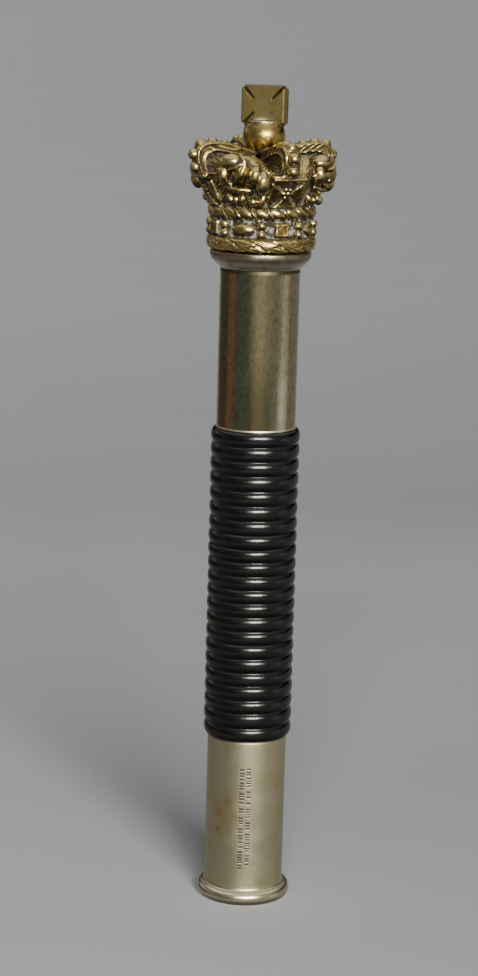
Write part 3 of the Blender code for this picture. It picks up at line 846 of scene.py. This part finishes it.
def smooth_noise(points, rng, wavelength, terms=40):
    """A seeded smooth random field: a sum of plane waves of about one wavelength."""
    total = np.zeros(len(points))
    for _ in range(terms):
        wave = rng.normal(size=3)
        wave *= 2 * pi / wavelength / np.linalg.norm(wave) * rng.uniform(0.6, 1.5)
        total += np.sin(points @ wave + rng.uniform(0, 2 * pi))
    return total / sqrt(terms / 2)


def hatching(points):
    """Fine slanting tooling on the cap and on the flanks of the arches."""
    azimuth = np.arctan2(points[:, 0], -points[:, 1])
    radius = np.hypot(points[:, 0], points[:, 1])
    level = points[:, 2]
    top = WAIST_LEVEL + CAP_HEIGHT
    skin = np.interp(level, [WAIST_LEVEL, WAIST_LEVEL + FLARE_HEIGHT], [BAND_RADIUS + 1.0, CAP_RADIUS])
    share = 1 - smooth_step(0.1, 0.6, radius - skin)
    share *= smooth_step(WAIST_LEVEL + 1.2, WAIST_LEVEL + 2.4, level)
    share *= smooth_step(ORB_RADIUS, ORB_RADIUS + 2.0, radius)
    share *= 1 - smooth_step(top + 2.0, top + 3.0, level)
    run = azimuth * CAP_RADIUS * 0.75 - level * 0.8 + radius * 0.35
    return share * HATCHING_DEPTH * np.sin(2 * pi * run / HATCHING_PITCH)


def roughen(mesh):
    """Smooths the voxel steps and adds the unevenness of a casting and the tooling."""
    points, normals, edges, counts = mesh_arrays(mesh)
    for strength in (0.55, -0.5, 0.5):
        points += strength * (neighbour_mean(points, edges, counts) - points)
    snap_to_orb(points)
    rng = np.random.default_rng(71)
    cast = sum(smooth_noise(points, rng, wavelength) * size for wavelength, size in CAST_WAVES)
    calm = smooth_step(TOP_CROSS_BOTTOM - 9.0, TOP_CROSS_BOTTOM - 7.0, points[:, 2])
    points += normals * (cast * (1 - 0.8 * calm) + hatching(points))[:, None]
    mesh.vertices.foreach_set("co", points.ravel())
    mesh.update()


def evaluated_mesh(obj):
    bpy.context.view_layer.update()
    return bpy.data.meshes.new_from_object(obj.evaluated_get(bpy.context.evaluated_depsgraph_get()))


def crown_casting():
    """The whole crown as one mesh, fused and thinned, with the attributes in HOLLOWS."""
    pile = Pile()
    add_body(pile)
    add_leaf_band(pile)
    add_rope(pile)
    for turn in turns(QUARTERS):
        add_jewels(pile, turn)
        add_cross(pile, turn + CROSS_AZIMUTH)
        add_arch(pile, turn + CROSS_AZIMUTH)
        add_fleur(pile, turn + FLEUR_AZIMUTH)
    add_orb(pile)
    parts = bpy.data.meshes.new("crown_parts")
    parts.from_pydata(pile.points, [], pile.faces)
    helper = place_in_scene("crown_parts", parts)
    fuse = helper.modifiers.new("fuse", "REMESH")
    fuse.mode = "VOXEL"
    fuse.voxel_size = VOXEL
    fused = evaluated_mesh(helper)
    roughen(fused)
    helper.data = fused
    helper.modifiers.clear()
    thin = helper.modifiers.new("thin", "DECIMATE")
    thin.ratio = min(1.0, CROWN_TRIANGLES / sum(len(polygon.vertices) - 2 for polygon in fused.polygons))
    casting = evaluated_mesh(helper)
    bpy.data.objects.remove(helper)
    points, normals, edges, counts = mesh_arrays(casting)
    soft = points.copy()
    depths = {}
    for name, rounds in HOLLOWS:
        for _ in range(rounds):
            soft = neighbour_mean(soft, edges, counts)
        depths[name] = ((soft - points) * normals).sum(1)
    casting.shade_smooth()
    both = bmesh.new()
    both.from_mesh(casting)
    both.from_mesh(top_cross())
    both.to_mesh(casting)
    both.free()
    for name, depth in depths.items():
        add_attribute(casting, name, np.pad(depth, (0, len(casting.vertices) - len(depth))))
    casting.transform(Matrix.Scale(UNIT, 4) @ Matrix.Translation((0.0, 0.0, CROWN_BOTTOM)))
    casting.name = "crown_casting"
    return place_in_scene("crown_casting", casting)


# ---------------------------------------------------------------- materials

class Value:
    """A number, a colour or a place in a node tree. Arithmetic with it adds nodes."""

    def __init__(self, tree, socket):
        self.tree = tree
        self.socket = socket

    def math(self, operation, other):
        return self.tree.math(operation, self, other)

    def __add__(self, other):
        return self.math("ADD", other)

    def __sub__(self, other):
        return self.math("SUBTRACT", other)

    def __rsub__(self, other):
        return self.tree.math("SUBTRACT", other, self)

    def __mul__(self, other):
        return self.math("MULTIPLY", other)

    def step(self, low, high, start=0.0, end=1.0):
        """A smooth step from start to end as the value goes from low to high."""
        node = self.tree.nodes.new("ShaderNodeMapRange")
        node.interpolation_type = "SMOOTHSTEP"
        ends = {"From Min": low, "From Max": high, "To Min": start, "To Max": end}
        return self.tree.fill(node, "Result", {"Value": self, **ends})

    def ramp(self, stops):
        """Colours at azimuths, as the value goes from 0 at -180 degrees to 1 at 180."""
        node = self.tree.nodes.new("ShaderNodeValToRGB")
        node.color_ramp.interpolation = "EASE"
        elements = node.color_ramp.elements
        while len(elements) > 1:
            elements.remove(elements[-1])
        for index, (azimuth, colour) in enumerate(stops):
            position = azimuth / 360.0 + 0.5
            element = elements.new(position) if index else elements[0]
            element.position = position
            element.color = (*colour, 1.0)
        return self.tree.fill(node, 0, {0: self})


class Tree:
    """The node tree of a material or of the world."""

    def __init__(self, owner):
        owner.use_nodes = True
        self.nodes = owner.node_tree.nodes
        self.links = owner.node_tree.links

    def put(self, socket, value):
        if isinstance(value, Value):
            self.links.new(value.socket, socket)
        elif socket.type == "RGBA":
            socket.default_value = (*value, 1.0)
        else:
            socket.default_value = value

    def fill(self, node, output, values):
        """Puts values in a node's sockets and gives one of its outputs."""
        for socket, value in values.items():
            self.put(node.inputs[socket], value)
        return Value(self, node.outputs[output])

    def source(self, kind, output):
        """One output of a new node that needs no input."""
        return Value(self, self.nodes.new(kind).outputs[output])

    def math(self, operation, first, second):
        node = self.nodes.new("ShaderNodeMath")
        node.operation = operation
        return self.fill(node, 0, {0: first, 1: second})

    def vector(self, operation, first, second):
        node = self.nodes.new("ShaderNodeVectorMath")
        node.operation = operation
        return self.fill(node, "Vector", {0: first, 1: second})

    def axes(self, vector):
        node = self.nodes.new("ShaderNodeSeparateXYZ")
        self.put(node.inputs[0], vector)
        return [Value(self, socket) for socket in node.outputs]

    def mix(self, share, first, second, blend="MIX"):
        node = self.nodes.new("ShaderNodeMix")
        node.data_type = "RGBA"
        node.blend_type = blend
        return self.fill(node, 2, {"Factor": share, 6: first, 7: second})


class Recipe(Tree):
    """The node tree of one material, with its colour laid on in coats. Places are in units."""

    def __init__(self, name):
        self.material = bpy.data.materials.new(name)
        super().__init__(self.material)
        self.place = self.vector("MULTIPLY", self.source("ShaderNodeTexCoord", "Object"), (1 / UNIT,) * 3)
        self.colour = None

    def noise(self, scale, detail, roughness=0.55, squeeze=None, shift=None, distortion=0.0):
        """A noise, finer along an axis where it is squeezed by more."""
        place = self.vector("MULTIPLY", self.place, squeeze) if squeeze else self.place
        place = self.vector("ADD", place, shift) if shift else place
        node = self.nodes.new("ShaderNodeTexNoise")
        values = {"Scale": scale, "Detail": detail, "Roughness": roughness, "Distortion": distortion}
        return self.fill(node, "Fac", {"Vector": place, **values})

    def cells(self, scale):
        node = self.nodes.new("ShaderNodeTexVoronoi")
        return self.fill(node, "Distance", {"Vector": self.place, "Scale": scale})

    def attribute(self, name):
        node = self.nodes.new("ShaderNodeAttribute")
        node.attribute_name = name
        return Value(self, node.outputs["Fac"])

    def coat(self, share, colour):
        """Covers a share of the colour with another one."""
        self.colour = self.mix(share, self.colour, colour)

    def bump(self, height, depth, under=None):
        """A bump whose full height range is depth units."""
        values = {"Strength": 1.0, "Distance": depth * UNIT, "Height": height}
        if under:
            values["Normal"] = under
        return self.fill(self.nodes.new("ShaderNodeBump"), "Normal", values)

    def finish(self, roughness, metallic, normal, **others):
        values = {"Base Color": self.colour, "Roughness": roughness, "Metallic": metallic, "Normal": normal}
        values.update((name.replace("_", " "), value) for name, value in others.items())
        self.fill(self.nodes["Principled BSDF"], 0, values)
        return self.material


def aged_brass():
    recipe = Recipe("aged_brass_casting")
    patches = recipe.noise(0.35, 5.0)
    specks = recipe.noise(2.2, 5.0, 0.65)
    fine, hollow, broad = (recipe.attribute(name) for name, _ in HOLLOWS)
    x, y, z = recipe.axes(recipe.place)
    level = z - CROWN_BOTTOM
    finial = level.step(TOP_CROSS_BOTTOM, TOP_CROSS_BOTTOM + 1.0)
    orb = (x * x + y * y).step(34.0, 26.0) * level.step(ORB_LEVEL - 5.5, ORB_LEVEL - 4.5) * (1.0 - finial)
    clean = 1.0 - (orb * 0.35).math("MAXIMUM", finial * 0.7)

    # Bright metal, mottled and golden where it is handled
    recipe.colour = recipe.mix(patches.step(0.35, 0.68), (0.55, 0.41, 0.12), (0.68, 0.52, 0.165))
    mottle = recipe.noise(1.1, 6.0, 0.7).step(0.47, 0.68, 0.0, 0.6)
    recipe.coat(mottle * clean, (0.20, 0.135, 0.055))
    handled = level.step(13.5, 17.5, 0.0, 0.4) * level.step(TOP_CROSS_BOTTOM - 6.5, TOP_CROSS_BOTTOM - 7.5)
    recipe.coat(handled * (1.0 - orb), (0.88, 0.66, 0.24))
    recipe.coat(specks.step(0.5, 0.75, 0.0, 0.4), (0.24, 0.16, 0.065))

    # Painted shade, tarnish-brown, on what faces down, and worn edges
    facing = recipe.source("ShaderNodeTexCoord", "Normal")
    tilt = recipe.axes(facing)[2] + (patches - 0.5)
    painted_shade_below = tilt.step(0.3, -0.55, 0.0, 0.88) * clean * level.step(0.6, 2.6, 0.1, 1.0)
    recipe.coat(painted_shade_below, (0.10, 0.066, 0.030))
    worn = fine.step(-0.006, -0.035) * (0.65 - painted_shade_below * 0.6) * (1.0 - orb)
    recipe.coat(worn, (0.84, 0.68, 0.33))

    # The cleaner top cross and orb, with a painted highlight along the cross's edges
    recipe.coat(finial * patches.step(0.48, 0.6, 0.0, 0.5), (0.40, 0.39, 0.19))
    recipe.coat(finial * fine.step(-0.012, -0.04, 0.0, 0.9), (1.0, 0.93, 0.72))
    recipe.coat(orb * 0.6, (0.52, 0.385, 0.12))

    # Grime and painted shade in the hollows, and a chalky film in the deepest
    ragged = hollow + broad * 0.45 + (specks - 0.5) * 0.12
    grime_and_painted_shade = ragged.step(-0.13, 0.06) * level.step(0.8, 3.3, 0.2, 1.0)
    recipe.coat(grime_and_painted_shade * 0.97, (0.018, 0.014, 0.009))
    blotches = recipe.noise(0.8, 4.0, shift=(7.0, 3.0, 1.0))
    band = level.step(3.0, 3.6) * level.step(16.0, 9.0, 0.45, 1.0)
    chalk = ragged.step(0.08, 0.17) * blotches.step(0.42, 0.64) * band
    film = recipe.mix(level.step(8.0, 12.0), (0.42, 0.41, 0.37), (0.24, 0.205, 0.145))
    recipe.coat(chalk * 0.85, film)

    roughness = grime_and_painted_shade.math("MAXIMUM", chalk).step(0.0, 0.5, 0.27, 0.58) + specks.step(0.4, 0.8, -0.04, 0.1)
    normal = recipe.bump(specks * (1.0 - finial * 0.8), 0.01)
    normal = recipe.bump(recipe.noise(0.2, 1.0) * finial, 0.4, normal)
    return recipe.finish(
        roughness, grime_and_painted_shade.step(0.6, 0.95, 1.0, 0.0), normal,
        Specular_IOR_Level=0.15, Coat_Weight=0.08, Coat_Roughness=0.2)


def pale_nickel():
    recipe = Recipe("pale_nickel_collar")
    patches = recipe.noise(0.5, 5.0)
    level = recipe.axes(recipe.place)[2] - COLLAR_BOTTOM
    recipe.colour = recipe.mix(patches.step(0.4, 0.65), (0.46, 0.415, 0.30), (0.53, 0.475, 0.35))
    recipe.coat((level + patches * 2.0).step(2.5, 3.6, 0.0, 0.7), (0.31, 0.26, 0.175))
    # The lower part is lightened with a painted reflection of the lit floor
    recipe.coat(level.step(2.2, 1.2, 0.0, 0.9), (0.95, 0.88, 0.70))
    smears = recipe.noise(1.0, 4.0, squeeze=(0.35, 0.35, 1.3), distortion=0.6)
    recipe.coat(smears.step(0.5, 0.7, 0.0, 0.45), (0.30, 0.24, 0.15))
    lines = recipe.noise(1.0, 2.0, squeeze=(0.3, 0.3, 16.0))
    normal = recipe.bump(recipe.noise(0.9, 3.0), 0.05, recipe.bump(lines, 0.008))
    return recipe.finish(patches.step(0.3, 0.7, 0.26, 0.38), 1.0, normal)


def polished_nickel_silver():
    recipe = Recipe("polished_nickel_silver_tube")
    patches = recipe.noise(0.22, 4.0)
    streaks = recipe.noise(1.0, 5.0, 0.7, (5.0, 5.0, 0.09))
    mottle = recipe.noise(1.3, 7.0, 0.75, (1.0, 1.0, 0.6))
    x, y, z = recipe.axes(recipe.place)
    turn = x.math("ARCTAN2", y * -1.0)
    level = z - BARREL_BOTTOM
    recipe.colour = recipe.mix(patches.step(0.35, 0.7), (0.50, 0.45, 0.29), (0.56, 0.495, 0.34))
    recipe.coat(streaks.step(0.45, 0.75, 0.0, 0.35), (0.40, 0.35, 0.24))
    recipe.coat(mottle.step(0.46, 0.64, 0.0, 0.75), (0.24, 0.24, 0.14))
    recipe.coat(mottle.step(0.44, 0.30, 0.0, 0.35), (0.72, 0.66, 0.46))
    hairs = recipe.noise(1.0, 3.0, 0.6, (0.22, 0.22, 9.0))
    recipe.coat(hairs.step(0.6, 0.7) * patches.step(0.42, 0.58) * 0.5, (0.80, 0.75, 0.58))

    # Painted shade dimming the reflection low in front and a painted reflection streak beside it, then pale
    # spots
    painted_dim_reflection = turn.step(-0.35, -0.15) * turn.step(0.45, 0.25) * level.step(20.0, 4.0)
    recipe.coat(painted_dim_reflection * 0.8, (0.24, 0.205, 0.125))
    painted_reflection_streak = turn.step(0.48, 0.6) * turn.step(0.95, 0.78) * level.step(19.0, 5.0)
    painted_reflection_streak = painted_reflection_streak * patches.step(0.3, 0.6, 0.5, 1.0)
    recipe.coat(painted_reflection_streak, (0.80, 0.75, 0.60))
    spot = recipe.cells(0.55).step(0.16, 0.1) * recipe.noise(0.9, 1.0).step(0.62, 0.68)
    recipe.coat(spot * 0.25, (0.82, 0.78, 0.66))

    # A painted highlight on the lower edge and painted shade on the lip under the collar
    edge = level.step(0.45, 0.2)
    recipe.coat(edge, (0.86, 0.80, 0.62))
    painted_shade_lip = z.step(BARREL_TOP - 0.95, BARREL_TOP - 0.5)
    recipe.coat(painted_shade_lip * 0.92, (0.10, 0.085, 0.05))

    roughness = streaks.step(0.3, 0.75, 0.07, 0.12) + mottle.step(0.45, 0.7, 0.0, 0.07)
    roughness = roughness + edge.math("MAXIMUM", painted_shade_lip) * 0.3 + painted_reflection_streak * 0.12 + spot * 0.08
    scratches = recipe.noise(1.0, 3.0, squeeze=(14.0, 14.0, 0.25))
    dents = recipe.noise(0.42, 3.0, squeeze=(1.0, 1.0, 0.45))
    return recipe.finish(roughness, 1.0, recipe.bump(dents, 0.075, recipe.bump(scratches, 0.004)))


def black_wood():
    recipe = Recipe("black_wood_turning")
    grain = recipe.noise(1.0, 6.0, 0.65, (4.5, 4.5, 0.35))
    scuff = recipe.noise(3.2, 6.0, 0.7, (0.5, 0.5, 2.2)).step(0.62, 0.75)
    recipe.colour = recipe.mix(grain.step(0.4, 0.7), (0.0008, 0.0007, 0.0007), (0.003, 0.0026, 0.0024))
    recipe.coat(scuff * 0.3, (0.06, 0.057, 0.053))
    roughness = recipe.noise(0.4, 4.0).step(0.3, 0.7, 0.12, 0.2) + scuff * 0.2
    rings = recipe.noise(1.0, 2.0, squeeze=(0.4, 0.4, 7.0))
    normal = recipe.bump(rings, 0.006, recipe.bump(grain, 0.008))
    return recipe.finish(roughness, 0.0, normal, Specular_IOR_Level=0.75)


def satin_nickel_silver():
    recipe = Recipe("satin_nickel_silver_cap")
    patches = recipe.noise(0.25, 5.0)
    lines = recipe.noise(1.0, 3.0, 0.6, (0.25, 0.25, 14.0))
    z = recipe.axes(recipe.place)[2]
    recipe.colour = recipe.mix(patches.step(0.35, 0.7), (0.61, 0.555, 0.375), (0.65, 0.595, 0.415))
    recipe.coat(recipe.noise(0.11, 2.0).step(0.5, 0.62, 0.0, 0.5), (0.585, 0.555, 0.32))
    recipe.coat(lines.step(0.4, 0.8, 0.0, 0.25), (0.52, 0.475, 0.33))
    stain = recipe.attribute("stain")
    recipe.coat(stain.step(0.0, 0.4, 0.0, 0.5), (0.61, 0.49, 0.25))
    blot = (stain * recipe.noise(1.1, 5.0, 0.65).step(0.3, 0.55, 0.4, 1.0)).step(0.05, 0.9)
    recipe.coat(blot * 0.9, (0.26, 0.155, 0.045))
    # Painted shade on the top edge, under the grip's lowest rib
    painted_shade_lip = z.step(GRIP_BOTTOM - 0.55, GRIP_BOTTOM - 0.3)
    recipe.coat(painted_shade_lip * 0.8, (0.16, 0.135, 0.09))
    # A lighter, warmer rim: a painted highlight on the roll
    rim = z.step(4.0, 3.0)
    recipe.coat(rim * 0.7, (0.90, 0.82, 0.58))
    fill = recipe.attribute("stamp").step(0.05, 0.5)
    recipe.coat(fill, (0.045, 0.037, 0.026))
    roughness = patches.step(0.3, 0.7, 0.38, 0.44) + blot * 0.15 - rim * 0.21
    metallic = (blot * 0.35).math("MAXIMUM", fill).step(0.1, 1.0, 1.0, 0.0)
    normal = recipe.bump(recipe.noise(0.5, 3.0), 0.008, recipe.bump(lines, 0.01))
    return recipe.finish(roughness, metallic, normal)


# ---------------------------------------------------------------- stage, lights and camera

def direction(azimuth, elevation):
    azimuth = radians(azimuth)
    elevation = radians(elevation)
    level = cos(elevation)
    return Vector((sin(azimuth) * level, -cos(azimuth) * level, sin(elevation)))


def floor():
    azimuths = even_azimuths(FLOOR_SIDES)
    rim = [(FLOOR_RIM * sin(azimuth), FLOOR_RIM * cos(azimuth), 0.0) for azimuth in azimuths]
    faces = [(0, 1 + (side + 1) % FLOOR_SIDES, 1 + side) for side in range(FLOOR_SIDES)]
    mesh = bpy.data.meshes.new("floor")
    mesh.from_pydata([(0.0, 0.0, 0.0)] + rim, [], faces)
    obj = place_in_scene("floor", mesh)
    recipe = Recipe("paper_floor")
    x, depth, _ = recipe.axes(recipe.place)
    # Painted light and shade: brighter in front of the staff, a darker band further back, and lighter on the
    # left than on the right
    tone = FLOOR_PAINTED_LIGHT[0][1]
    for (near, before), (far, after) in zip(FLOOR_PAINTED_LIGHT, FLOOR_PAINTED_LIGHT[1:]):
        tone = depth.step(near, far, 0.0, after - before) + tone
    away = (depth + CAMERA_DISTANCE).math("MAXIMUM", 50.0)
    aside = x.math("DIVIDE", away).math("MINIMUM", 0.12).math("MAXIMUM", -0.12)
    tone = tone - aside * depth.step(-420.0, -80.0) * 0.45
    recipe.colour = recipe.mix(recipe.noise(0.008, 3.0), (0.385, 0.385, 0.39), (0.415, 0.415, 0.422))
    shade = recipe.fill(recipe.nodes.new("ShaderNodeCombineColor"), 0, {0: tone, 1: tone, 2: tone})
    recipe.colour = recipe.mix(1.0, recipe.colour, shade, "MULTIPLY")
    normal = recipe.bump(recipe.noise(0.8, 3.0), 0.05)
    mesh.materials.append(recipe.finish(0.9, 0.0, normal, Specular_IOR_Level=0.0))
    obj.visible_glossy = False


def gloss_light(name, place, facing, width, height, radiance):
    """A lit rectangle, in metres, that shows only in the gloss of the pieces."""
    light = bpy.data.lights.new(name, "AREA")
    light.shape = "RECTANGLE"
    light.size = width
    light.size_y = height
    light.energy = radiance * pi * width * height
    light.color = KEY_COLOUR
    obj = place_in_scene(name, light)
    obj.location = place
    obj.rotation_euler = facing.to_track_quat("-Z", "Y").to_euler()
    obj.visible_camera = False
    obj.visible_diffuse = False


def soft_light(name, azimuth, elevation, distance, width, height, radiance):
    """A softbox that faces the middle of the staff."""
    middle = Vector((0.0, 0.0, (CAD_LOW[2] + CAD_HIGH[2]) / 2))
    away = direction(azimuth, elevation)
    gloss_light(name, middle + away * distance, -away, width, height, radiance)


def wide_light(name, azimuth, elevation, spread, strength):
    """A distant wide light that casts the soft shadows and lights the floor evenly."""
    light = bpy.data.lights.new(name, "SUN")
    light.energy = strength
    light.angle = radians(spread)
    obj = place_in_scene(name, light)
    obj.rotation_euler = direction(azimuth, elevation).to_track_quat("Z", "Y").to_euler()
    obj.visible_glossy = False


def room():
    """The studio around the staff: what glossy metal mirrors, an even ambient light, and a plain backdrop."""
    world = bpy.data.worlds.new("studio")
    bpy.context.scene.world = world
    tree = Tree(world)
    x, y, rise = tree.axes(tree.source("ShaderNodeTexCoord", "Generated"))
    turn = x.math("ARCTAN2", y * -1.0) * (1 / (2 * pi)) + 0.5

    def above(low, high):
        """A step from 0 to 1 between two elevations in degrees."""
        return rise.step(sin(radians(low)), sin(radians(high)))

    seen = tree.mix(above(-17.0, -11.0), turn.ramp(ROOM_LOW), turn.ramp(ROOM_MIDDLE))
    seen = tree.mix(above(-52.0, -20.0), ROOM_NEAR, seen)
    seen = tree.mix(above(8.0, 40.0), seen, CEILING)
    seen = tree.mix(above(34.0, 48.0), seen, SKYLIGHT)
    seen = tree.mix(rise.step(0.06, 0.15) - rise.step(0.28, 0.42), seen, turn.ramp(WINDOW))
    seen = tree.mix(tree.source("ShaderNodeLightPath", "Is Diffuse Ray"), seen, AMBIENT)
    backdrop = tree.mix(x.step(-0.13, 0.13), BACKDROP_LEFT, BACKDROP_RIGHT)
    seen = tree.mix(tree.source("ShaderNodeLightPath", "Is Camera Ray"), seen, backdrop)
    tree.put(tree.nodes["Background"].inputs["Color"], seen)


def camera():
    right = direction(CAMERA_YAW + 90.0, 0.0)
    back = direction(CAMERA_YAW, CAMERA_PITCH)
    up = back.cross(right)
    roll = radians(CAMERA_ROLL)
    turned_right = right * cos(roll) + up * sin(roll)
    turned_up = up * cos(roll) - right * sin(roll)
    data = bpy.data.cameras.new("camera")
    data.sensor_width = SENSOR
    data.sensor_fit = "AUTO"
    data.lens = FOCAL_PIXELS / PHOTO_HEIGHT * SENSOR
    data.clip_start = 0.01
    obj = place_in_scene("camera", data)
    turn = Matrix((turned_right, turned_up, back)).transposed().to_4x4()
    obj.matrix_world = Matrix.Translation(Vector((0.0, -CAMERA_DISTANCE, CAMERA_HEIGHT)) * UNIT) @ turn
    bpy.context.scene.camera = obj


# ---------------------------------------------------------------- assembly

PIECES = (
    (crown_casting, "crown", "aged_brass", aged_brass),
    (collar_ring, "collar", "pale_nickel", pale_nickel),
    (barrel_tube, "barrel", "polished_nickel_silver", polished_nickel_silver),
    (grip_turning, "grip", "black_wood", black_wood),
    (foot_cap_shell, "foot_cap", "satin_nickel_silver", satin_nickel_silver),
)
for make, node, slot, finish in PIECES:
    piece = make()
    piece.data.materials.clear()
    piece.data.materials.append(finish())
    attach(piece, "root")
    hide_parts(node)

floor()
room()
soft_light("key", 14.0, 15.5, 1.2, 0.62, 0.3, 22.0)
soft_light("key_surround", 14.0, 15.5, 1.25, 1.25, 0.34, 3.6)
gloss_light("lit_floor", Vector((0.03, -0.36, 0.001)), Vector((0.0, 0.0, 1.0)), 0.42, 0.24, 0.26)
wide_light("key_wash", 20.0, 22.0, 20.0, 3.75)
wide_light("middle_wash", 1.0, 24.0, 23.0, 2.5)
wide_light("fill_wash", -24.0, 30.0, 30.0, 0.1)
camera()
